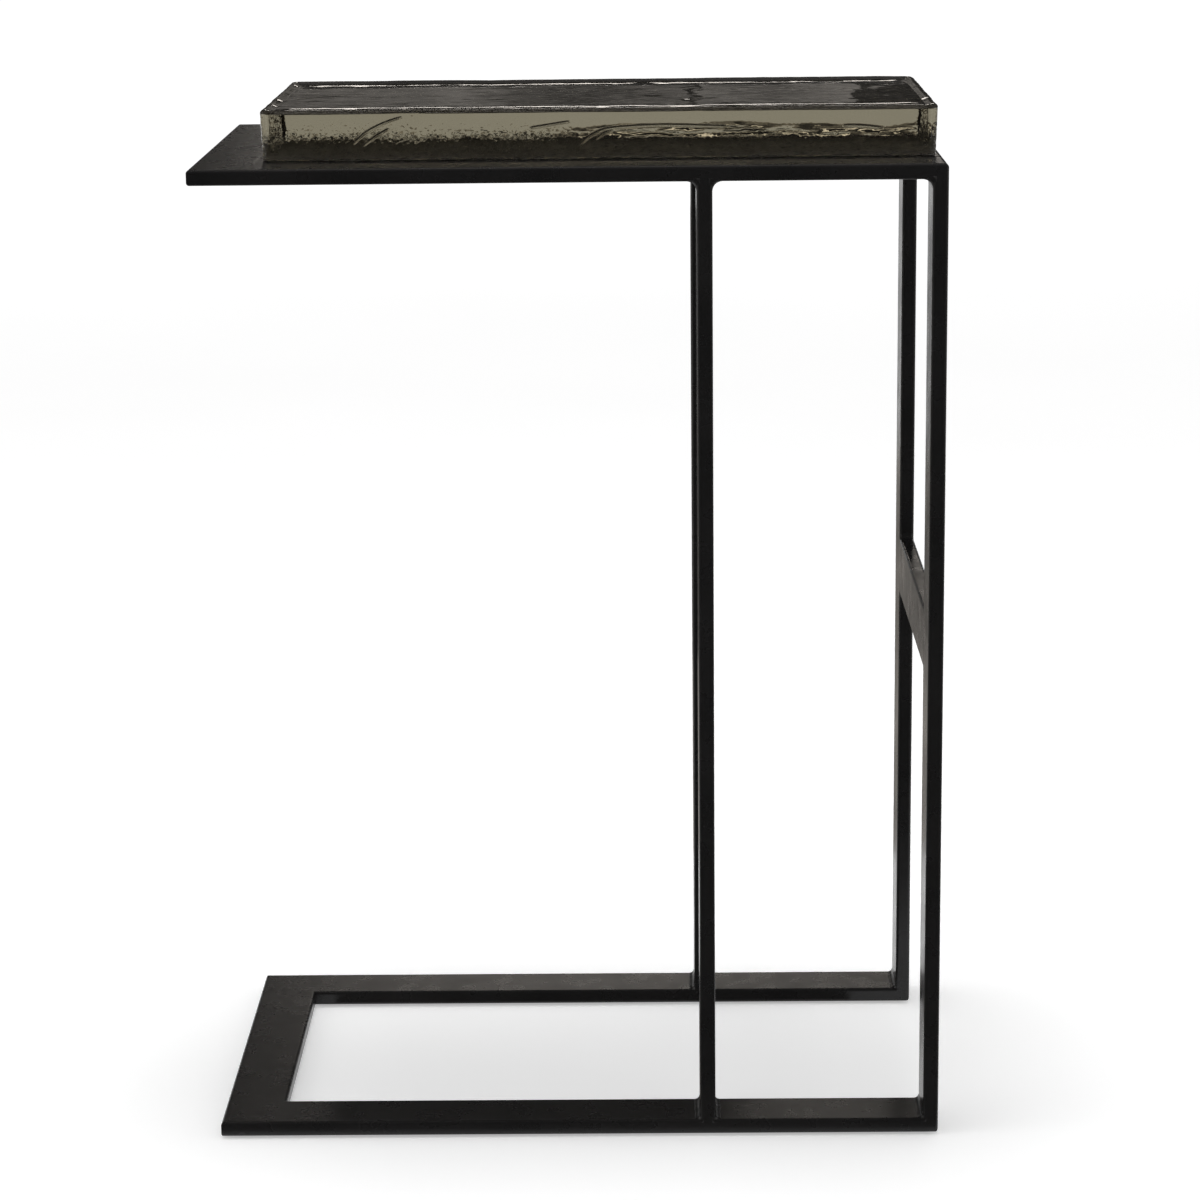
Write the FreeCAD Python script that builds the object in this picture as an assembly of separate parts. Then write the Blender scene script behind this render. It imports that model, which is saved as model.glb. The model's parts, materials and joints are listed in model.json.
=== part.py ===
import FreeCAD, Part
import os

# C-shaped accent table: a welded frame of flat tube that carries a cast glass slab.
# Millimetres. +X right, +Y to the rear, +Z up. Origin on the floor, under the deck's centre.

# Overall sizes
table_width = 452.0
table_depth = 282.0
deck_height = 611.0

# Flat frame tube
tube_width = 38.0
tube_thickness = 9.5
tube_wall = 1.5
tube_corner = 2.0

# How tubes meet: outer corners are ground round, butted ends reach down over round edges
ground_corner = 3.0
cope_share = 0.7

# Legs and stretcher
leg_pitch = 140.0
stretcher_height = 313.0

# Sheet let into the deck frame
panel_thickness = 2.5

# Cast glass slab: drafted sides, rounded edges and a top that sank into a shallow dish
slab_height = 31.0
slab_side_margin = 38.0
slab_left_margin = 40.0
slab_right_margin = 3.0
slab_corner = 7.0
slab_draft = 1.0
slab_top_round = 4.5
slab_bottom_round = 1.2
dish_rim = 5.0
dish_shoulder = 7.0
dish_depth = 2.2

# Clear bumpers under the slab
bumper_radius = 5.0
bumper_thickness = 0.5
bumper_inset = 22.0

# Floor glides under the base corners
glide_radius = 10.0
glide_thickness = 1.5
glide_round = 0.5

# Weld beads: the leg length of each fillet, and how full its throat is
deck_weld = 5.5
base_weld = 3.0
stretcher_weld = 3.0
throat_share = 0.34

# One overrun serves all cuts
overrun = 5.0

# Places that follow from the sizes above
right = table_width / 2
left = -right
rear = table_depth / 2
front = -rear
base_bottom = glide_thickness
base_top = base_bottom + tube_thickness
deck_bottom = deck_height - tube_thickness
half_width = tube_width / 2
half_thickness = tube_thickness / 2
base_middle = base_bottom + half_thickness
deck_middle = deck_height - half_thickness
right_leg_x = right - half_thickness
middle_leg_x = right_leg_x - leg_pitch
cope = cope_share * tube_corner
slab_bottom = deck_height + bumper_thickness
slab_top = slab_bottom + slab_height
slab_width = table_width - slab_left_margin - slab_right_margin
slab_depth = table_depth - 2 * slab_side_margin
slab_x = right - slab_right_margin - slab_width / 2

X = FreeCAD.Vector(1, 0, 0)
Y = FreeCAD.Vector(0, 1, 0)
Z = FreeCAD.Vector(0, 0, 1)

# The front and rear frames: name, middle line of their tubes, outer face and way in
frame_sides = (("front", front + half_width, front, Y), ("rear", rear - half_width, rear, -Y))


def at(x, y, z):
    return FreeCAD.Vector(x, y, z)


def round_rectangle(centre, across, up, width, height, radius):
    """A closed wire about a centre, with round corners where the radius isn't zero."""
    half_across = across * (width / 2 - radius)
    half_up = up * (height / 2 - radius)
    corners = [
        centre - half_across - half_up,
        centre + half_across - half_up,
        centre + half_across + half_up,
        centre - half_across + half_up,
    ]
    outline = Part.makePolygon(corners + corners[:1])
    return outline.makeOffset2D(radius) if radius > 0 else outline


def prism(wire, reach):
    return Part.Face(wire).extrude(reach)


# Middle lines of the tubes: start, run, length, and the way the wide face lies

def long_rail(y, z):
    return at(left, y, z), X, table_width, Y


def end_rail(begin_x, z):
    return at(begin_x + half_width, front, z), Y, table_depth, X


def right_leg(y):
    return at(right_leg_x, y, base_bottom), Z, deck_height - base_bottom, Y


def middle_leg(y):
    return at(middle_leg_x, y, base_top - cope), Z, deck_bottom - base_top + 2 * cope, Y


def cross_tube(x, z, across):
    reach = tube_width - cope
    return at(x, front + reach, z), Y, table_depth - 2 * reach, across


def bar(start, run, length, across):
    """The outer form of a tube, without its bore."""
    wire = round_rectangle(start, across, run.cross(across), tube_width, tube_thickness, tube_corner)
    return prism(wire, run * length)


def bore(start, run, length, across):
    """The space inside a tube, run past both ends."""
    width = tube_width - 2 * tube_wall
    height = tube_thickness - 2 * tube_wall
    radius = max(tube_corner - tube_wall, 0)
    wire = round_rectangle(start - run * overrun, across, run.cross(across), width, height, radius)
    return prism(wire, run * (length + 2 * overrun))


def ground_form():
    """The frame's side outline, with the corners at the right legs' ends ground round."""
    width = table_width + overrun
    height = deck_height - base_bottom
    centre = at(right - width / 2, front - overrun, base_bottom + height / 2)
    wire = round_rectangle(centre, X, Z, width, height, min(ground_corner, 2 * tube_wall))
    return prism(wire, Y * (table_depth + 2 * overrun))


def mitre(corner, own, other):
    """A block past the plane that halves a corner, clear of the tube that runs its own way."""
    size = 4 * tube_width
    block = Part.makeBox(size, size, size, at(-size / 2, -size / 2, 0))
    block.Placement = FreeCAD.Placement(corner, FreeCAD.Rotation(Z, other - own))
    return block


def tube(line, cutters):
    """A hollow tube along its middle line, cut by mitre blocks and by the forms it butts on."""
    body = bar(*line).common(ground_form())
    for cutter in cutters:
        body = body.cut(cutter)
    return body.cut(bore(*line)).removeSplitter()


def frame_tubes():
    """All tubes of the base, legs and deck, by node name."""
    tubes = {}
    legs = []
    deck_rails = []
    for side, y, outer_y, inward in frame_sides:
        base_rail = long_rail(y, base_middle)
        deck_rail = long_rail(y, deck_middle)
        base_corner = at(left, outer_y, base_middle)
        deck_corner = at(left, outer_y, deck_middle)
        foot = at(right, y, base_bottom)
        head = at(right, y, deck_height)
        tubes[f"base_{side}_rail"] = tube(base_rail, [mitre(base_corner, X, inward), mitre(foot, -X, Z)])
        tubes[f"deck_{side}_rail"] = tube(deck_rail, [mitre(deck_corner, X, inward), mitre(head, -X, -Z)])
        tubes[f"{side}_right_leg"] = tube(right_leg(y), [mitre(foot, Z, -X), mitre(head, -Z, -X)])
        tubes[f"{side}_middle_leg"] = tube(middle_leg(y), [bar(*base_rail), bar(*deck_rail)])
        legs.append(bar(*right_leg(y)))
        deck_rails.append(bar(*deck_rail))
    for ring, z in (("base", base_middle), ("deck", deck_middle)):
        corners = [mitre(at(left, outer_y, z), inward, X) for side, y, outer_y, inward in frame_sides]
        tubes[f"{ring}_left_rail"] = tube(end_rail(left, z), corners)
    tubes["deck_right_rail"] = tube(cross_tube(right - half_width, deck_middle, X), deck_rails + legs)
    tubes["side_stretcher"] = tube(cross_tube(right_leg_x, stretcher_height, Z), legs)
    return tubes


def deck_panel():
    """The sheet that closes the deck frame, its edges run out over the rails' round inner edges."""
    reach = tube_width - cope
    width = table_width - 2 * reach
    depth = table_depth - 2 * reach
    corner = at(left + reach, front + reach, deck_height - panel_thickness)
    sheet = Part.makeBox(width, depth, panel_thickness, corner)
    for side, y, outer_y, inward in frame_sides:
        sheet = sheet.cut(bar(*long_rail(y, deck_middle)))
    for begin_x in (left, right - tube_width):
        sheet = sheet.cut(bar(*end_rail(begin_x, deck_middle)))
    return sheet


def slab_wire(z, inset):
    """The slab's outline at a height, drawn in by an inset."""
    width = slab_width - 2 * inset
    depth = slab_depth - 2 * inset
    return round_rectangle(at(slab_x, 0, z), X, Y, width, depth, slab_corner)


def rim_edges(shape, pick):
    """The edges round a shape's lowest or highest face."""
    return pick(shape.Faces, key=lambda face: face.CenterOfMass.z).Edges


def glass_slab():
    """A drafted block with rounded edges and a shallow dish sunk inside its rim."""
    slab = Part.makeLoft([slab_wire(slab_bottom, slab_draft), slab_wire(slab_top, 0)], True, True)
    slab = slab.makeFillet(slab_bottom_round, rim_edges(slab, min))
    slab = slab.makeFillet(slab_top_round, rim_edges(slab, max))
    mouth = slab_wire(slab_top, dish_rim)
    floor = slab_wire(slab_top - dish_depth, dish_rim + dish_shoulder)
    return slab.cut(Part.makeLoft([floor, mouth], True, True))


def slab_bumpers():
    """Round dots on the deck, one near each corner of the slab."""
    dots = []
    for turn_x in (-1, 1):
        for turn_y in (-1, 1):
            x = slab_x + turn_x * (slab_width / 2 - bumper_inset)
            y = turn_y * (slab_depth / 2 - bumper_inset)
            dots.append(Part.makeCylinder(bumper_radius, bumper_thickness, at(x, y, deck_height)))
    return Part.makeCompound(dots)


def floor_glides():
    """Round pads under the base rails, at the corners of the footprint."""
    pads = []
    for x in (left + half_width, right - half_width):
        for side, y, outer_y, inward in frame_sides:
            pad = Part.makeCylinder(glide_radius, glide_thickness, at(x, y, 0))
            pads.append(pad.makeFillet(glide_round, rim_edges(pad, min)))
    return Part.makeCompound(pads)


def bead(corner, first, second, reach, size):
    """A hollow-faced weld fillet in the corner between two faces."""
    toe = corner + first * size
    crest = corner + (first + second) * (size * throat_share)
    tip = corner + second * size
    edges = [
        Part.LineSegment(corner, toe).toShape(),
        Part.Arc(toe, crest, tip).toShape(),
        Part.LineSegment(tip, corner).toShape(),
    ]
    return prism(Part.Wire(edges), reach)


def leg_beads(z, up, size):
    """Beads along the legs' wide faces, where they meet the rails at one height."""
    flat = tube_width - 2 * tube_corner
    inner_faces = ((middle_leg_x + half_thickness, X), (right_leg_x - half_thickness, -X))
    faces = ((middle_leg_x - half_thickness, -X),) + inner_faces
    beads = []
    for side, y, outer_y, inward in frame_sides:
        for x, away in faces:
            beads.append(bead(at(x, y - flat / 2, z), away, up, Y * flat, size))
    return Part.makeCompound(beads)


def stretcher_beads():
    """Beads above and below both ends of the stretcher."""
    flat = tube_thickness - 2 * tube_corner
    beads = []
    for side, y, outer_y, inward in frame_sides:
        face_y = y + inward.y * half_width
        for up in (-Z, Z):
            corner = at(right_leg_x - flat / 2, face_y, stretcher_height + up.z * half_width)
            beads.append(bead(corner, inward, up, X * flat, stretcher_weld))
    return Part.makeCompound(beads)


nodes = frame_tubes()
nodes["deck_panel"] = deck_panel()
nodes["glass_slab"] = glass_slab()
nodes["slab_bumpers"] = slab_bumpers()
nodes["floor_glides"] = floor_glides()
nodes["deck_leg_welds"] = leg_beads(deck_bottom, -Z, deck_weld)
nodes["base_leg_welds"] = leg_beads(base_top, Z, base_weld)
nodes["stretcher_welds"] = stretcher_beads()

os.makedirs("parts", exist_ok=True)
for name, shape in nodes.items():
    shape.exportStep(f"parts/{name}.step")
    print(name, shape.ShapeType, len(shape.Solids), shape.isValid(), round(shape.Volume, 1))
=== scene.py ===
import json
import math

import bmesh
import bpy
from mathutils import Matrix, Vector, noise
from mathutils.kdtree import KDTree


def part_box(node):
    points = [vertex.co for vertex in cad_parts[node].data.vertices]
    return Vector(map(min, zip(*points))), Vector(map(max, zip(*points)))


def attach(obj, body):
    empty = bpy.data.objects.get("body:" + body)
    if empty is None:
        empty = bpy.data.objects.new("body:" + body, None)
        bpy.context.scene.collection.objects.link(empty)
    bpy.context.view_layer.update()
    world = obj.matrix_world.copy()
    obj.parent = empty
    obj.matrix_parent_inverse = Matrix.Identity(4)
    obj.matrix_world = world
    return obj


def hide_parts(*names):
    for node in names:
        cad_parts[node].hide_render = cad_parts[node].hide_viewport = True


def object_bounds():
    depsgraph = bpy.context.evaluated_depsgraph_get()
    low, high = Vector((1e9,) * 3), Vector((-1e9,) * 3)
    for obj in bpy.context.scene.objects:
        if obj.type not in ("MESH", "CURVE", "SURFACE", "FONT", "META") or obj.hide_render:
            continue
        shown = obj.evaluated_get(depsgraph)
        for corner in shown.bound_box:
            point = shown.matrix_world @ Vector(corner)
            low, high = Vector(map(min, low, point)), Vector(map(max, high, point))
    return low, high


# Looks of a C-shaped accent table: satin black tube frame and a cast, smoky glass slab.
# Metres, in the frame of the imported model.

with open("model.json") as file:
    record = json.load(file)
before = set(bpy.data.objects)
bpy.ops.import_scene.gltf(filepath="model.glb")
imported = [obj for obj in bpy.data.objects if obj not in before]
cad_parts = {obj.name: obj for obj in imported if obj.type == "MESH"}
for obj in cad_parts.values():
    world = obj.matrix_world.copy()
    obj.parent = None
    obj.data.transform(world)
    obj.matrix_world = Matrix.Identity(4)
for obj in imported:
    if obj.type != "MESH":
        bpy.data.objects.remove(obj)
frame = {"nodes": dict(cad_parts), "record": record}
cad_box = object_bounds()

# Camera: place, turn in radians, and focal length as a share of the picture's width
camera_place = Vector((0.0442, -2.2368, 0.8392))
camera_yaw = -0.0131
camera_pitch = -0.2303
camera_roll = -0.0109
focal_share = 2.9494
sensor_width = 36.0

# Slab form: its corners, draft, round edges, sunk top and the edge of its level field
slab_corner = 0.007
slab_draft = 0.001
slab_top_round = 0.0026
slab_bottom_round = 0.0003
dish_depth = 0.0024
grid_inset = 0.0195

# The rim's inner slope: insets from the slab's side, and the share of the dish's depth reached there
rim_slope = (
    (0.0034, 0.0),
    (0.0044, 0.05),
    (0.0054, 0.2),
    (0.0064, 0.4),
    (0.0074, 0.57),
    (0.0084, 0.67),
    (0.0104, 0.78),
    (0.0124, 0.87),
    (0.0148, 0.95),
    (0.0180, 1.0),
)
rim_begin = rim_slope[0][0]
rim_end = rim_slope[-1][0]

# Slab mesh: steps along the long sides, short sides, corners, rounds, walls, rim and margins
long_steps = 340
short_steps = 170
corner_steps = 8
round_steps = 6
wall_steps = 40
rim_steps = 4
margin_steps = 8
join_distance = 0.000001

# Layered noise: how much finer each layer is, and how many there are
layer_step = 2.0
layer_count = 3

# Slow waves all over the slab and ripples on its top
wave_depth = 0.00022
wave_size = 0.055
wave_falloff = 1.0
ripple_depth = 0.0002
ripple_size = 0.024
ripple_falloff = 0.8
ripple_run_share = 0.7
smooth_bias = 0.6

# How the sunk top lifts from the rear rim to its crown, the front brow and the right end
crown_height = 0.0012
crown_reach = 0.036
crown_wander = 0.35
crown_seed = 5.2
brow_reach = 0.036
roll_depth = 0.001
roll_reach = 0.009
end_reach = 0.06
lift_power = 4

# Skin left by the mould low on the walls, thinner on the front and in the flow
skin_depth = 0.00022
skin_size = 0.0032
skin_layers = 2
skin_top_share = 0.64
skin_full_share = -0.1
skin_wander = 0.16
skin_seed = Vector((7.3, 1.7, 4.1))
clear_wall_share = 0.25
calm_wall_share = 0.1
flow_skin_share = 0.2

# Folded flow low on the right of the rear wall, with long ridges along its top
flow_begin = -0.03
flow_fade = 0.06
fold_depth = 0.0022
fold_size = 0.045
fold_top_share = 0.24
fold_wander = 0.14
fold_seed = (3.1, 0.7)
ridge_depth = 0.0014
ridge_length = 0.03
ridge_height = 0.003
ridge_over_share = 0.05
ridge_fade_share = 0.16
ridge_falloff = 1.0
ridge_seed = 1.9
rough_bias = 0.7

# Wrinkles on both ends, calm towards the corners
wrinkle_depth = 0.0011
wrinkle_length = 0.01
wrinkle_height = 0.0028
wrinkle_falloff = 0.9
wrinkle_seed = 2.3
calm_corner = 0.03
end_grain_share = 0.6

# Crinkled matt underside, level over the bumpers
crinkle_depth = 0.0015
crinkle_size = 0.007
crinkle_layers = 3
matt_top_share = 0.06
bumper_radius = 0.005
pad_fade = 0.004

# Curved chill marks: depth, width, taper at their tips, and how finely the mesh follows them
mark_depth = 0.0006
mark_width = 0.00055
mark_taper = 0.006
mark_spacing = 0.00025
mark_cuts = 3
refine_reach = 0.0022

# The marks on the four walls: shares of the wall's length from its left end, and of its height
front_mark_shares = (
    ((0.136, 0.29), (0.158, 0.55), (0.185, 0.73), (0.213, 0.85)),
    ((0.149, 0.24), (0.17, 0.45), (0.193, 0.63)),
    ((0.222, 0.87), (0.226, 0.88), (0.23, 0.885)),
    ((0.397, 0.6), (0.43, 0.67), (0.46, 0.73)),
    ((0.461, 0.05), (0.475, 0.3), (0.494, 0.49), (0.524, 0.6), (0.6, 0.64), (0.69, 0.6)),
    ((0.494, 0.35), (0.508, 0.49), (0.522, 0.56)),
    ((0.857, 0.6), (0.888, 0.59), (0.92, 0.54)),
)
rear_mark_shares = (
    ((0.22, 0.04), (0.25, 0.15), (0.3, 0.24), (0.36, 0.28)),
    ((0.62, 0.03), (0.65, 0.14), (0.7, 0.22), (0.77, 0.26)),
    ((0.8, 0.1), (0.84, 0.18), (0.9, 0.2)),
)
left_mark_shares = (
    ((0.2, 0.1), (0.26, 0.46), (0.36, 0.74)),
    ((0.6, 0.12), (0.68, 0.42), (0.8, 0.56)),
)
right_mark_shares = (
    ((0.3, 0.14), (0.38, 0.5), (0.5, 0.72)),
    ((0.7, 0.1), (0.76, 0.4), (0.86, 0.6)),
)

# Weld fillets: leg lengths, throat, wander of the bead and mesh steps
deck_weld = 0.0056
base_weld = 0.0034
stretcher_weld = 0.0034
tube_corner = 0.002
weld_throat_share = 0.3
weld_wander_share = 0.12
weld_wander_size = 0.006
weld_run_steps = 24
weld_arc_steps = 8

# The middle part of a noise that finishes are mapped from
noise_low = 0.3
noise_high = 0.7

# Frame paint: noises as size and detail, ranges of colour and roughness, depths of its bumps
mottle_noise = (0.05, 4)
sheen_noise = (0.016, 5)
slow_noise = (0.04, 1)
peel_noise = (0.0011, 2)
paint_colours = ((0.008, 0.008, 0.0085), (0.013, 0.0125, 0.013))
paint_roughness = (0.25, 0.32)
paint_specular = 0.36
slow_depth = 0.0002
peel_depth = 0.00001

# Glass: tint, two layers of fine crinkles as noise and depth, roughness, and the colour of its depth
glass_ior = 1.52
tint_noise = (0.08, 2)
tint_colours = ((0.97, 0.97, 0.95), (1.0, 1.0, 0.99))
grain_layers = (((0.002, 0), 0.0008), ((0.0012, 0), 0.0002))
clear_roughness = 0.01
matt_roughness = 0.45
smoke_colour = (0.403, 0.368, 0.244, 1)
smoke_density = 12.5

# Silicone of the bumpers
cloudy_noise = (0.002, 3)
silicone_colours = ((0.7, 0.71, 0.7), (0.8, 0.81, 0.8))
silicone_roughness = (0.3, 0.42)
silicone_clearness = 0.7
silicone_ior = 1.41

# Nylon of the glides
nylon_noise = (0.0012, 3)
nylon_colours = ((0.016, 0.016, 0.016), (0.028, 0.028, 0.028))
nylon_roughness = (0.5, 0.68)
nylon_depth = 0.00005

# Floor and world: reach, finish, and the floor's own glow near the table and far from it
floor_reach = 24.0
floor_steps = 4
floor_noise = (0.6, 2)
floor_colours = ((0.79, 0.79, 0.79), (0.81, 0.81, 0.81))
floor_roughness = 0.9
floor_near = 0.8
floor_far = 5.0
floor_near_glow = 0.4
floor_far_glow = 0.72
white = (1, 1, 1, 1)
world_level = 0.42

# Soft lights: name, place, width, height, power, and whether glosses show them
softboxes = (
    ("top_softbox", (-0.05, 0.1, 2.4), 0.9, 0.9, 30.0, False),
    ("left_softbox", (-2.4, -0.4, 1.3), 1.2, 1.6, 9.0, True),
    ("right_softbox", (2.4, -0.4, 1.3), 1.2, 1.6, 9.0, True),
)

# Finish of the room's panels
panel_noise = (0.3, 2)
panel_low_share = 0.35
panel_high_share = 1.65
panel_colour = (1, 0.93, 0.85, 1)

# Drapes, cards, mats and a flag: name, middle, half reach, half rise, grey, in glosses, through glass
drapes = (
    ("front_drape", (0, -3.4, 1.6), (3.6, 0, 0), (0, 0, 1.6), 0.09, True, True),
    ("left_drape", (-3.4, 0, 1.5), (0, 3.4, 0), (0, 0, 1.5), 0.4, False, True),
    ("left_wall", (-3.5, 0, 1.6), (0, 3.6, 0), (0, 0, 1.6), 0.32, True, False),
    ("right_drape", (3.4, 0, 1.5), (0, 3.4, 0), (0, 0, 1.5), 0.4, False, True),
    ("right_wall", (3.5, 0, 1.6), (0, 3.6, 0), (0, 0, 1.6), 0.32, True, False),
    ("top_drape", (0, 0, 3), (3.4, 0, 0), (0, 3.4, 0), 0.04, False, True),
    ("ceiling", (0, 0, 3.1), (3.6, 0, 0), (0, 3.6, 0), 0.15, True, False),
    ("rear_drape", (0, 9, 4.26), (9.2, 0, 0), (0, 0, 3.74), 0.025, True, True),
    ("left_card", (-0.471, 8.9, 1.42), (0.66, 0, 0), (0, 0, 0.565), 0.12, True, True),
    ("right_card", (0.455, 8.9, 1.42), (0.245, 0, 0), (0, 0, 0.565), 0.14, True, True),
    ("bright_card", (0.05, 8.85, 2.55), (1.1, 0, 0), (0, 0, 0.4), 2.0, True, True),
    ("overhead_card", (0, 0.1, 2.4), (0.45, 0, 0), (0, 0.45, 0), 0.8, True, False),
    ("front_mat", (0, -1.77, 0.001), (3.0, 0, 0), (0, 1.62, 0), 0.09, True, False),
    # Under the table: a dark sheet seen only in glosses, painted shade that stands in for the table's
    # shadow on the floor in reflections
    ("under_table_shade_mat", (0.005, 0, 0.001), (0.18, 0, 0), (0, 0.1, 0), 0.13, True, False),
    ("rear_mat", (0, 1.3, 0.002), (3.0, 0, 0), (0, 0.85, 0), 0.5, True, False),
    ("base_flag", (-0.045, 0.5, 0.33), (0.165, 0, 0), (0, 0, 0.18), 0.02, True, False),
    ("near_mat", (0, 1.4, 0.003), (3.2, 0, 0), (0, 1.2, 0), 0.02, False, True),
)

# The dim end of the room as the glass shows it: edges of its steps from the floor up, and their greys
step_edges = (0.4, 0.62, 0.84, 1.06, 1.32, 1.7)
step_greys = (0.62, 0.4, 0.25, 0.14, 0.07)
step_place = 8.8
step_reach = 9.0


def linked_object(name, data):
    thing = bpy.data.objects.new(name, data)
    bpy.context.scene.collection.objects.link(thing)
    return thing


def plain_mesh(name, form):
    """A mesh from a bmesh, which is freed."""
    mesh = bpy.data.meshes.new(name)
    form.to_mesh(mesh)
    form.free()
    return mesh


def smooth_mesh(name, form):
    """A mesh with smooth shading from a bmesh, its normals turned outward."""
    bmesh.ops.recalc_face_normals(form, faces=form.faces)
    mesh = plain_mesh(name, form)
    mesh.shade_smooth()
    return mesh


def mix(begin, end, share):
    return begin + (end - begin) * share


def ease(share):
    """A soft step from zero to one."""
    held = min(max(share, 0), 1)
    return held * held * (3 - 2 * held)


# Materials

def shader_nodes(name):
    """A new node material: the material, its nodes, its links and its main shader."""
    material = bpy.data.materials.new(name)
    material.use_nodes = True
    nodes = material.node_tree.nodes
    return material, nodes, material.node_tree.links, nodes["Principled BSDF"]


def noise_node(nodes, links, size, detail):
    """A noise texture in the object's own space, with features about a size in metres."""
    place = nodes.new("ShaderNodeTexCoord")
    texture = nodes.new("ShaderNodeTexNoise")
    texture.inputs["Scale"].default_value = 1 / size
    texture.inputs["Detail"].default_value = detail
    links.new(place.outputs["Object"], texture.inputs["Vector"])
    return texture.outputs["Fac"]


def ramp_node(nodes, links, source, low, high):
    """Maps the middle of a noise to a range of values."""
    spread = nodes.new("ShaderNodeMapRange")
    spread.inputs["From Min"].default_value = noise_low
    spread.inputs["From Max"].default_value = noise_high
    spread.inputs["To Min"].default_value = low
    spread.inputs["To Max"].default_value = high
    links.new(source, spread.inputs["Value"])
    return spread.outputs["Result"]


def colour_node(nodes, links, source, low, high):
    """Maps the middle of a noise to a range of colours."""
    blend = nodes.new("ShaderNodeValToRGB")
    blend.color_ramp.elements[0].position = noise_low
    blend.color_ramp.elements[0].color = (*low, 1)
    blend.color_ramp.elements[1].position = noise_high
    blend.color_ramp.elements[1].color = (*high, 1)
    links.new(source, blend.inputs["Fac"])
    return blend.outputs["Color"]


def bump_node(nodes, links, height, depth, base=None):
    """A bump of a depth in metres, over another bump where one is given."""
    bump = nodes.new("ShaderNodeBump")
    bump.inputs["Distance"].default_value = depth
    links.new(height, bump.inputs["Height"])
    if base:
        links.new(base, bump.inputs["Normal"])
    return bump.outputs["Normal"]


def attribute_node(nodes, name):
    """A value that the mesh holds at its points."""
    attribute = nodes.new("ShaderNodeAttribute")
    attribute.attribute_name = name
    return attribute.outputs["Fac"]


def math_node(nodes, links, operation, first, second):
    step = nodes.new("ShaderNodeMath")
    step.operation = operation
    links.new(first, step.inputs[0])
    links.new(second, step.inputs[1])
    return step.outputs[0]


def frame_paint():
    """Satin black paint over hand-ground tube: faint mottle, slow waves and a fine orange peel."""
    material, nodes, links, shader = shader_nodes("frame_paint")
    mottle = noise_node(nodes, links, *mottle_noise)
    links.new(colour_node(nodes, links, mottle, *paint_colours), shader.inputs["Base Color"])
    sheen = noise_node(nodes, links, *sheen_noise)
    links.new(ramp_node(nodes, links, sheen, *paint_roughness), shader.inputs["Roughness"])
    shader.inputs["Specular IOR Level"].default_value = paint_specular
    waves = bump_node(nodes, links, noise_node(nodes, links, *slow_noise), slow_depth)
    peel = bump_node(nodes, links, noise_node(nodes, links, *peel_noise), peel_depth, waves)
    links.new(peel, shader.inputs["Normal"])
    return material


def smoke_glass():
    """Olive grey cast glass: clear on top, grainy where the mould touched it and matt below."""
    material, nodes, links, shader = shader_nodes("smoke_glass")
    shader.inputs["Transmission Weight"].default_value = 1.0
    shader.inputs["IOR"].default_value = glass_ior
    tint = noise_node(nodes, links, *tint_noise)
    links.new(colour_node(nodes, links, tint, *tint_colours), shader.inputs["Base Color"])
    frost = nodes.new("ShaderNodeMapRange")
    frost.inputs["To Min"].default_value = clear_roughness
    frost.inputs["To Max"].default_value = matt_roughness
    links.new(attribute_node(nodes, "matt"), frost.inputs["Value"])
    links.new(frost.outputs["Result"], shader.inputs["Roughness"])
    cast = attribute_node(nodes, "cast")
    skin = None
    for grain_noise, depth in grain_layers:
        grain = math_node(nodes, links, "MULTIPLY", noise_node(nodes, links, *grain_noise), cast)
        skin = bump_node(nodes, links, grain, depth, skin)
    links.new(skin, shader.inputs["Normal"])
    absorb = nodes.new("ShaderNodeVolumeAbsorption")
    absorb.inputs["Color"].default_value = smoke_colour
    absorb.inputs["Density"].default_value = smoke_density
    links.new(absorb.outputs["Volume"], nodes["Material Output"].inputs["Volume"])
    return material


def clear_bumper():
    """Cloudy clear silicone."""
    material, nodes, links, shader = shader_nodes("clear_bumper")
    cloud = noise_node(nodes, links, *cloudy_noise)
    links.new(colour_node(nodes, links, cloud, *silicone_colours), shader.inputs["Base Color"])
    links.new(ramp_node(nodes, links, cloud, *silicone_roughness), shader.inputs["Roughness"])
    shader.inputs["Transmission Weight"].default_value = silicone_clearness
    shader.inputs["IOR"].default_value = silicone_ior
    return material


def black_glide():
    """Matt moulded nylon."""
    material, nodes, links, shader = shader_nodes("black_glide")
    grain = noise_node(nodes, links, *nylon_noise)
    links.new(colour_node(nodes, links, grain, *nylon_colours), shader.inputs["Base Color"])
    links.new(ramp_node(nodes, links, grain, *nylon_roughness), shader.inputs["Roughness"])
    links.new(bump_node(nodes, links, grain, nylon_depth), shader.inputs["Normal"])
    return material


def dress_solids(finishes):
    """Gives each solid the finish of its material slot."""
    for part in frame["record"]["subparts"]:
        solid = frame["nodes"][part["node"]]
        solid.data.materials.clear()
        solid.data.materials.append(finishes[part["material_slot"]])


# Form of the glass slab

def slab_profile(height):
    """The slab's section from its bottom to its top: insets and heights."""
    section = []
    for step in range(margin_steps):
        inset = mix(grid_inset, slab_draft + slab_bottom_round, step / margin_steps)
        section.append((inset, 0))
    for step in range(round_steps):
        turn = math.pi / 2 * step / round_steps
        inset = slab_draft + slab_bottom_round * (1 - math.sin(turn))
        section.append((inset, slab_bottom_round * (1 - math.cos(turn))))
    for step in range(wall_steps):
        share = step / wall_steps
        level = mix(slab_bottom_round, height - slab_top_round, share)
        section.append((mix(slab_draft, 0, share), level))
    for step in range(round_steps + 1):
        turn = math.pi / 2 * step / round_steps
        inset = slab_top_round * (1 - math.cos(turn))
        section.append((inset, height - slab_top_round * (1 - math.sin(turn))))
    section.append((rim_begin, height))
    for (begin, shallow), (end, deep) in zip(rim_slope, rim_slope[1:]):
        for step in range(1, rim_steps + 1):
            share = step / rim_steps
            section.append((mix(begin, end, share), height - dish_depth * mix(shallow, deep, share)))
    section.append((grid_inset, height - dish_depth))
    return section


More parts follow.
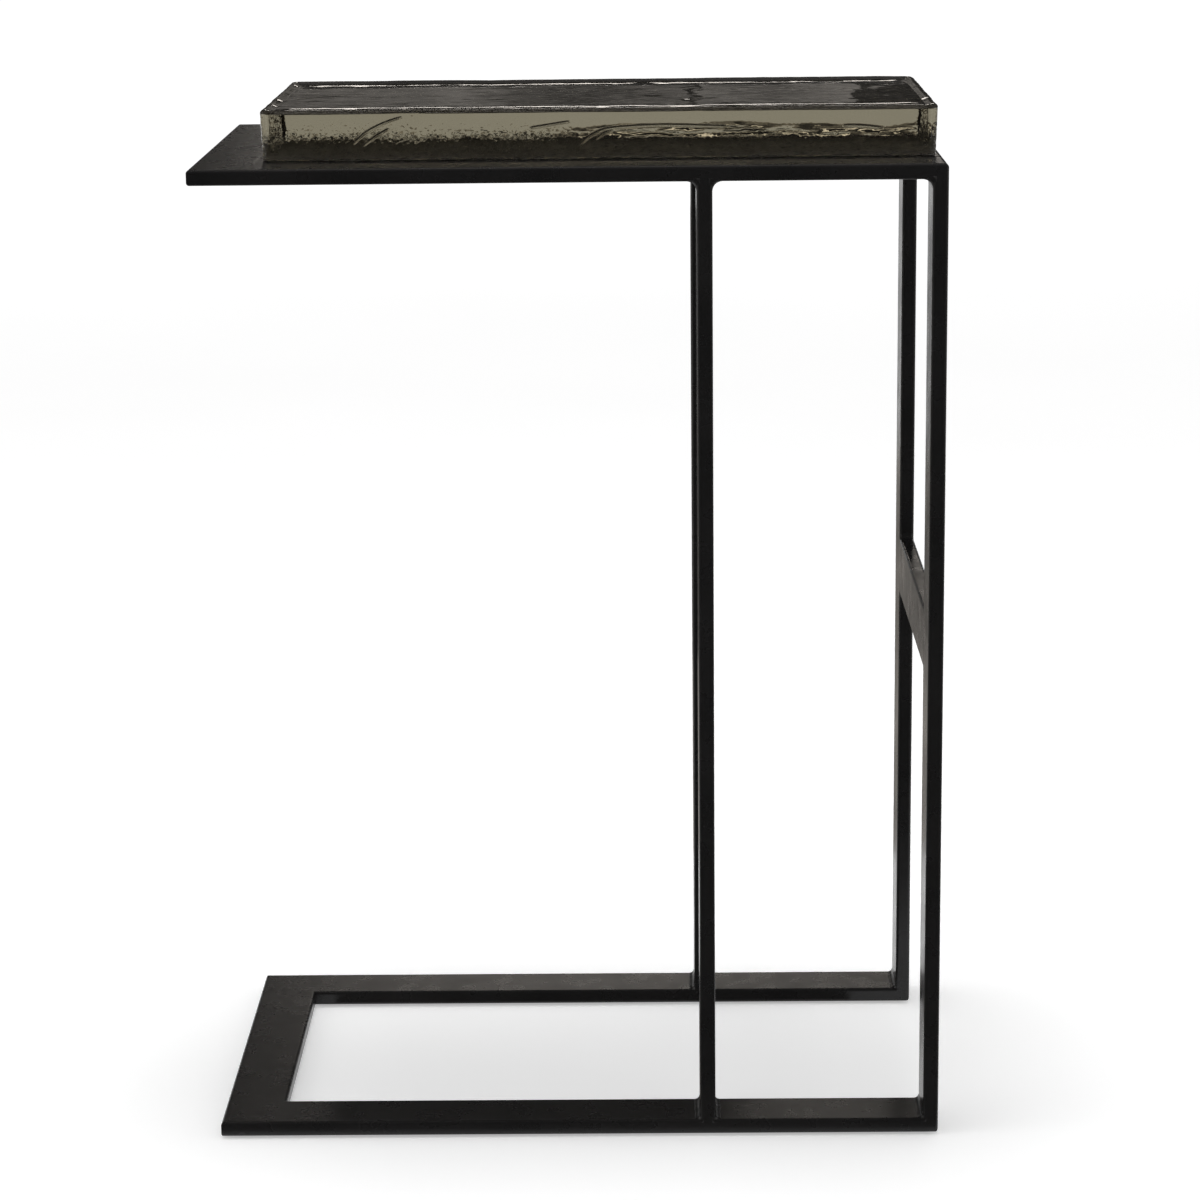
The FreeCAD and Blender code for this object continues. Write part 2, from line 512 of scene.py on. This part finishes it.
def outline(half_x, half_y, radius):
    """Points round a rectangle with round corners, as many for every inset."""
    corners = ((1, -1), (1, 1), (-1, 1), (-1, -1))
    side_steps = (short_steps, long_steps, short_steps, long_steps)
    centres = [Vector((x * (half_x - radius), y * (half_y - radius))) for x, y in corners]
    points = []
    for index, centre in enumerate(centres):
        for step in range(corner_steps + 1):
            turn = math.pi / 2 * (index - 1 + step / corner_steps)
            points.append(centre + radius * Vector((math.cos(turn), math.sin(turn))))
        end_turn = math.pi / 2 * index
        reach = radius * Vector((math.cos(end_turn), math.sin(end_turn)))
        begin = centre + reach
        end = centres[(index + 1) % len(centres)] + reach
        steps = side_steps[index]
        points.extend(begin.lerp(end, step / steps) for step in range(1, steps))
    return points


def slab_form(low, high):
    """The slab's closed mesh before its surface is worked."""
    middle = (low + high) / 2
    half_x = (high.x - low.x) / 2
    half_y = (high.y - low.y) / 2
    form = bmesh.new()
    last = None
    for inset, height in slab_profile(high.z - low.z):
        plan = outline(half_x - inset, half_y - inset, max(slab_corner - inset, 0))
        level = low.z + height
        ring = [form.verts.new((middle.x + point.x, middle.y + point.y, level)) for point in plan]
        if last:
            for index in range(len(ring)):
                after = (index + 1) % len(ring)
                form.faces.new((last[index], last[after], ring[after], ring[index]))
        last = ring
    for height in (low.z, high.z - dish_depth):
        add_grid(form, middle, half_x - grid_inset, half_y - grid_inset, height)
    bmesh.ops.remove_doubles(form, verts=form.verts, dist=join_distance)
    refine_marks(form, low, high)
    return form


def add_grid(form, middle, half_x, half_y, height):
    """The level field inside the slab's rings."""
    rows = []
    for step_y in range(short_steps + 1):
        y = middle.y + mix(-half_y, half_y, step_y / short_steps)
        row = []
        for step_x in range(long_steps + 1):
            x = middle.x + mix(-half_x, half_x, step_x / long_steps)
            row.append(form.verts.new((x, y, height)))
        rows.append(row)
    for near, far in zip(rows, rows[1:]):
        for index in range(long_steps):
            form.faces.new((near[index], near[index + 1], far[index + 1], far[index]))


# Chill marks

def wall_marks(low, high):
    """The chill marks as runs of points in space."""
    walls = (
        (front_mark_shares, Vector((low.x, low.y, low.z)), Vector((high.x - low.x, 0, 0))),
        (right_mark_shares, Vector((high.x, low.y, low.z)), Vector((0, high.y - low.y, 0))),
        (rear_mark_shares, Vector((high.x, high.y, low.z)), Vector((low.x - high.x, 0, 0))),
        (left_mark_shares, Vector((low.x, high.y, low.z)), Vector((0, low.y - high.y, 0))),
    )
    rise = Vector((0, 0, high.z - low.z))
    marks = []
    for shares, origin, run in walls:
        for mark in shares:
            marks.append([origin + run * along + rise * up for along, up in mark])
    return marks


def smooth_run(points):
    """Close points along a soft curve through a few points."""
    curve = []
    last = len(points) - 1
    for index in range(last):
        before = points[max(index - 1, 0)]
        after = points[min(index + 2, last)]
        begin = points[index]
        end = points[index + 1]
        steps = math.ceil((end - begin).length / mark_spacing)
        for step in range(steps):
            share = step / steps
            leave = (end - before) * (share * (1 - share) ** 2)
            arrive = (after - begin) * (share ** 2 * (1 - share))
            curve.append(begin.lerp(end, ease(share)) + (leave - arrive) / 2)
    curve.append(points[last])
    return curve


def mark_tree(low, high):
    """All chill marks as points to find the nearest one among, and how strong a mark is at each."""
    points = []
    strengths = []
    for mark in wall_marks(low, high):
        run = smooth_run(mark)
        points.extend(run)
        for index in range(len(run)):
            from_tip = mark_spacing * min(index, len(run) - 1 - index)
            strengths.append(ease(from_tip / mark_taper))
    tree = KDTree(len(points))
    for index, point in enumerate(points):
        tree.insert(point, index)
    tree.balance()
    return tree, strengths


def refine_marks(form, low, high):
    """Splits the faces along the chill marks, so that the thin marks come out sharp."""
    tree, strengths = mark_tree(low, high)
    near = [face for face in form.faces if tree.find(face.calc_center_median())[2] < refine_reach]
    edges = {edge for face in near for edge in face.edges}
    bmesh.ops.subdivide_edges(form, edges=list(edges), cuts=mark_cuts, use_grid_fill=True)


def crease(distance, width):
    """A soft ridge that fades with the distance from its line."""
    return math.exp(-(distance / width) ** 2)


# Surface of the glass slab

def layered(place, falloff):
    """Noise about zero in layers, each finer than the last."""
    return noise.fractal(place, falloff, layer_step, layer_count)


def leaning(part):
    """From zero to one as a face begins to look one way."""
    return ease(part * 2)


def facing(part):
    """From zero to one as a face comes to look straight one way."""
    return ease(part * 2 - 1)


def rightward(place):
    """From zero to one across the middle of the slab, where the flow begins."""
    return ease((place.x - flow_begin) / flow_fade)


def dish_lift(place, low, high):
    """How far the sunk top stands above its lowest level, which lies along the rear rim."""
    from_front = place.y - low.y
    from_rear = high.y - place.y
    from_end = high.x - place.x
    inward = min(from_end, place.x - low.x, from_rear, from_front)
    sunk = ease((inward - rim_begin) / (rim_end - rim_begin))
    wander = 1 + crown_wander * noise.noise(Vector((place.x / wave_size, crown_seed, 0)))
    climb = min(max(from_rear - rim_end, 0) / crown_reach, 1)
    crown = crown_height * wander * math.sin(math.pi / 2 * climb)
    brow = mix(dish_depth, crown, ease((from_front - rim_begin) / brow_reach))
    end_lift = mix(dish_depth, 0, ease((from_end - rim_begin) / end_reach))
    end_lift *= ease((from_rear - rim_end) / end_reach)
    roll = roll_depth * max(1 - from_front / roll_reach, 0) ** 2
    return sunk * (brow ** lift_power + end_lift ** lift_power) ** (1 / lift_power) - roll


def ripple_sink(place):
    """Ripples of the top, drawn out along the slab."""
    flow = Vector((place.x * ripple_run_share, place.y, place.z))
    return ripple_depth * (layered(flow / ripple_size, ripple_falloff) + smooth_bias)


def skin_cover(place, up, front, rear):
    """How much of the mould's skin a wall has at a share of its height."""
    wander = skin_wander * noise.noise(place / wave_size + skin_seed)
    cover = ease((skin_top_share + wander - up) / (skin_top_share - skin_full_share))
    flowing = rightward(place)
    cover *= mix(1, mix(clear_wall_share, calm_wall_share, flowing), front)
    return cover * mix(1, flow_skin_share, rear * flowing)


def flow_sink(place, up):
    """Folds at the foot of the rear wall, and long ridges over them."""
    lift = fold_top_share + fold_wander * noise.noise(Vector((place.x / fold_size, *fold_seed)))
    fold = fold_depth * max(1 - up / lift, 0) ** 2
    ridge = Vector((place.x / ridge_length, ridge_seed, place.z / ridge_height))
    near = ease((lift + ridge_over_share - up) / ridge_fade_share)
    return rightward(place) * (fold + near * ridge_depth * (layered(ridge, ridge_falloff) + rough_bias))


def wrinkle_sink(place, normal, low, high):
    """Wrinkles across an end."""
    wrinkle = Vector((wrinkle_seed * normal.x, place.y / wrinkle_length, place.z / wrinkle_height))
    calm = ease(min(high.y - place.y, place.y - low.y) / calm_corner)
    return calm * wrinkle_depth * (layered(wrinkle, wrinkle_falloff) + rough_bias)


def bumper_middles():
    """The middles of the four bumpers, one in each corner of their box."""
    low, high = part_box("slab_bumpers")
    xs = (low.x + bumper_radius, high.x - bumper_radius)
    ys = (low.y + bumper_radius, high.y - bumper_radius)
    return [Vector((x, y)) for x in xs for y in ys]


def pad_share(place, pads):
    """Zero over a bumper, one away from it."""
    from_pad = min((place.xy - middle).length for middle in pads)
    return ease((from_pad - bumper_radius) / pad_fade)


def worked_surface(mesh, low, high):
    """Works waves, skin, flow and marks into the slab, and notes where it is grainy and matt."""
    tree, strengths = mark_tree(low, high)
    pads = bumper_middles()
    normals = [vertex.normal.copy() for vertex in mesh.vertices]
    grainy = []
    matt = []
    for vertex, normal in zip(mesh.vertices, normals):
        place = vertex.co.copy()
        up = (place.z - low.z) / (high.z - low.z)
        below = leaning(-normal.z)
        above = leaning(normal.z)
        wall = 1 - below - above
        end = wall * facing(abs(normal.x))
        front = facing(-normal.y)
        rear = facing(normal.y)
        sink = wave_depth * (layered(place / wave_size, wave_falloff) + smooth_bias)
        if above > 0:
            place.z += above * dish_lift(place, low, high)
            sink += above * ripple_sink(place)
        if rear > 0:
            sink += rear * flow_sink(place, up)
        if end > 0:
            sink += end * wrinkle_sink(place, normal, low, high)
        skin = wall * skin_cover(place, up, front, rear)
        if skin > 0:
            sink += skin * skin_depth * noise.turbulence(place / skin_size, skin_layers, True)
        if below > 0:
            sink += below * crinkle_depth * noise.turbulence(place / crinkle_size, crinkle_layers, True)
            sink *= pad_share(place, pads)
        if wall > 0:
            nearest, index, distance = tree.find(place)
            sink -= wall * mark_depth * strengths[index] * crease(distance, mark_width)
        vertex.co = place - normal * sink
        grainy.append(max(skin, end_grain_share * end))
        matt.append(max(below, ease((matt_top_share - up) / matt_top_share)))
    for name, values in (("cast", grainy), ("matt", matt)):
        mesh.attributes.new(name, "FLOAT", "POINT").data.foreach_set("value", values)


def glass_slab(finish):
    """The slab as one worked piece in place of its plain solid."""
    low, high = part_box("glass_slab")
    mesh = smooth_mesh("cast_slab", slab_form(low, high))
    worked_surface(mesh, low, high)
    mesh.materials.append(finish)
    slab = linked_object("cast_slab", mesh)
    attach(slab, "slab")
    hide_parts("glass_slab")


# Weld fillets

def add_bead(form, corner, first, second, along, half_run, size):
    """One hollow fillet between two faces, wrapped round the tubes' round edges at both ends."""
    rows = []
    for step in range(weld_run_steps + 1):
        run = mix(-half_run, half_run, step / weld_run_steps)
        over = max(abs(run) - (half_run - tube_corner), 0)
        drop = tube_corner - math.sqrt(max(tube_corner ** 2 - over ** 2, 0))
        origin = corner + along * run - (first + second) * drop
        wander = 1 + weld_wander_share * noise.noise(origin / weld_wander_size)
        leg = size * wander
        row = [form.verts.new(origin)]
        for turn_step in range(weld_arc_steps + 1):
            share = turn_step / weld_arc_steps
            flat = first * (1 - share) + second * share
            hollow = (first + second) * ((0.5 - weld_throat_share) * 4 * share * (1 - share))
            row.append(form.verts.new(origin + (flat - hollow) * leg))
        rows.append(row)
    for near, far in zip(rows, rows[1:]):
        for index in range(len(near)):
            after = (index + 1) % len(near)
            form.faces.new((near[index], near[after], far[after], far[index]))
    form.faces.new(rows[0])
    form.faces.new(rows[-1])


def weld_piece(name, beads, finish):
    """All beads of one weld node as one painted piece."""
    form = bmesh.new()
    for bead in beads:
        add_bead(form, *bead)
    mesh = smooth_mesh(f"{name}_beads", form)
    mesh.materials.append(finish)
    piece = linked_object(f"{name}_beads", mesh)
    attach(piece, "frame")
    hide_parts(name)


def leg_beads(side_legs, level, rise, size):
    """Beads on the legs' wide faces: both faces of a middle leg and the inner face of a right leg."""
    beads = []
    for node, ways in side_legs:
        low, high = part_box(node)
        middle_y = (low.y + high.y) / 2
        half_run = (high.y - low.y) / 2
        for way in ways:
            face_x = high.x if way > 0 else low.x
            corner = Vector((face_x, middle_y, level))
            faces = (Vector((way, 0, 0)), Vector((0, 0, rise)))
            beads.append((corner, *faces, Vector((0, 1, 0)), half_run, size))
    return beads


def stretcher_beads():
    """Beads above and below both ends of the stretcher."""
    low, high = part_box("side_stretcher")
    middle_x = (low.x + high.x) / 2
    half_run = (high.x - low.x) / 2
    ends = ((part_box("front_right_leg")[1].y, 1), (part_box("rear_right_leg")[0].y, -1))
    beads = []
    for face_y, way in ends:
        for level, rise in ((low.z, -1), (high.z, 1)):
            corner = Vector((middle_x, face_y, level))
            faces = (Vector((0, way, 0)), Vector((0, 0, rise)))
            beads.append((corner, *faces, Vector((1, 0, 0)), half_run, stretcher_weld))
    return beads


def welds(finish):
    legs = (
        ("front_right_leg", (-1,)),
        ("rear_right_leg", (-1,)),
        ("front_middle_leg", (-1, 1)),
        ("rear_middle_leg", (-1, 1)),
    )
    deck_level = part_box("deck_front_rail")[0].z
    base_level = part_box("base_front_rail")[1].z
    weld_piece("deck_leg_welds", leg_beads(legs, deck_level, -1, deck_weld), finish)
    weld_piece("base_leg_welds", leg_beads(legs, base_level, 1, base_weld), finish)
    weld_piece("stretcher_welds", stretcher_beads(), finish)


# Studio

def glow_factor(nodes, links):
    """One for rays from the camera, from a gloss or through glass, else zero."""
    path = nodes.new("ShaderNodeLightPath")
    total = path.outputs["Is Camera Ray"]
    for ray in ("Is Glossy Ray", "Is Transmission Ray"):
        total = math_node(nodes, links, "MAXIMUM", total, path.outputs[ray])
    return total


def far_glow(nodes, links):
    """The floor's own glow, which makes up for the light it loses with distance."""
    place = nodes.new("ShaderNodeTexCoord")
    distance = nodes.new("ShaderNodeVectorMath")
    distance.operation = "LENGTH"
    links.new(place.outputs["Object"], distance.inputs[0])
    glow = nodes.new("ShaderNodeMapRange")
    glow.inputs["From Min"].default_value = floor_near
    glow.inputs["From Max"].default_value = floor_far
    glow.inputs["To Min"].default_value = floor_near_glow
    glow.inputs["To Max"].default_value = floor_far_glow
    links.new(distance.outputs["Value"], glow.inputs["Value"])
    return glow.outputs["Result"]


def pale_floor():
    """A wide pale floor that keeps the shadow."""
    form = bmesh.new()
    bmesh.ops.create_grid(form, x_segments=floor_steps, y_segments=floor_steps, size=floor_reach)
    mesh = plain_mesh("floor", form)
    material, nodes, links, shader = shader_nodes("floor")
    cloud = noise_node(nodes, links, *floor_noise)
    links.new(colour_node(nodes, links, cloud, *floor_colours), shader.inputs["Base Color"])
    shader.inputs["Roughness"].default_value = floor_roughness
    shader.inputs["Specular IOR Level"].default_value = 0.0
    shader.inputs["Emission Color"].default_value = white
    glow = math_node(nodes, links, "MULTIPLY", glow_factor(nodes, links), far_glow(nodes, links))
    links.new(glow, shader.inputs["Emission Strength"])
    mesh.materials.append(material)
    linked_object("floor", mesh)


def soft_world():
    """White where it is seen, and an even soft light on everything else."""
    world = bpy.data.worlds.new("studio")
    world.use_nodes = True
    nodes = world.node_tree.nodes
    links = world.node_tree.links
    background = nodes["Background"]
    background.inputs["Color"].default_value = white
    strength = nodes.new("ShaderNodeMapRange")
    strength.inputs["To Min"].default_value = world_level
    strength.inputs["To Max"].default_value = 1.0
    links.new(glow_factor(nodes, links), strength.inputs["Value"])
    links.new(strength.outputs["Result"], background.inputs["Strength"])
    bpy.context.scene.world = world


def softbox(name, place, width, height, power, glossy):
    """A soft light on the middle of the table, which isn't seen through the glass."""
    data = bpy.data.lights.new(name, "AREA")
    data.shape = "RECTANGLE"
    data.size = width
    data.size_y = height
    data.energy = power
    lamp = linked_object(name, data)
    lamp.location = place
    target = Vector((0, 0, cad_box[1][2] / 2))
    lamp.rotation_euler = (target - Vector(place)).to_track_quat("-Z", "Y").to_euler()
    lamp.visible_transmission = False
    lamp.visible_glossy = glossy


def panel_finish(name, grey):
    """A cloudy grey that glows by itself."""
    material, nodes, links, shader = shader_nodes(name)
    cloud = noise_node(nodes, links, *panel_noise)
    shader.inputs["Base Color"].default_value = (0, 0, 0, 1)
    shader.inputs["Specular IOR Level"].default_value = 0.0
    shader.inputs["Emission Color"].default_value = panel_colour
    glow = ramp_node(nodes, links, cloud, grey * panel_low_share, grey * panel_high_share)
    links.new(glow, shader.inputs["Emission Strength"])
    return material


def drape(name, middle, reach, rise, grey, in_glosses, through_glass):
    """A plain panel that shows only in glosses, through glass or both."""
    form = bmesh.new()
    corners = []
    for along, up in ((-1, -1), (1, -1), (1, 1), (-1, 1)):
        corners.append(form.verts.new(Vector(middle) + Vector(reach) * along + Vector(rise) * up))
    form.faces.new(corners)
    mesh = plain_mesh(name, form)
    mesh.materials.append(panel_finish(name, grey))
    panel = linked_object(name, mesh)
    panel.visible_camera = False
    panel.visible_diffuse = False
    panel.visible_glossy = in_glosses
    panel.visible_transmission = through_glass
    panel.visible_volume_scatter = False
    panel.visible_shadow = False


def dim_steps():
    """Panels that fade the view through the glass from white to dark."""
    for index, grey in enumerate(step_greys):
        low, high = step_edges[index:index + 2]
        middle = (0, step_place, (low + high) / 2)
        rise = (0, 0, (high - low) / 2)
        drape(f"dim_step_{index}", middle, (step_reach, 0, 0), rise, grey, False, True)


def studio():
    pale_floor()
    soft_world()
    for panel in drapes:
        drape(*panel)
    dim_steps()
    for light in softboxes:
        softbox(*light)


def camera():
    data = bpy.data.cameras.new("camera")
    data.sensor_width = sensor_width
    data.lens = focal_share * sensor_width
    eye = linked_object("camera", data)
    turn = Matrix.Rotation(-camera_yaw, 4, "Z")
    tilt = Matrix.Rotation(math.pi / 2 + camera_pitch, 4, "X")
    roll = Matrix.Rotation(camera_roll, 4, "Z")
    eye.matrix_world = Matrix.Translation(camera_place) @ turn @ tilt @ roll
    bpy.context.scene.camera = eye


finishes = {
    "frame_paint": frame_paint(),
    "smoke_glass": smoke_glass(),
    "clear_bumper": clear_bumper(),
    "black_glide": black_glide(),
}
dress_solids(finishes)
welds(finishes["frame_paint"])
glass_slab(finishes["smoke_glass"])
studio()
camera()
bpy.context.scene.view_settings.view_transform = "Standard"
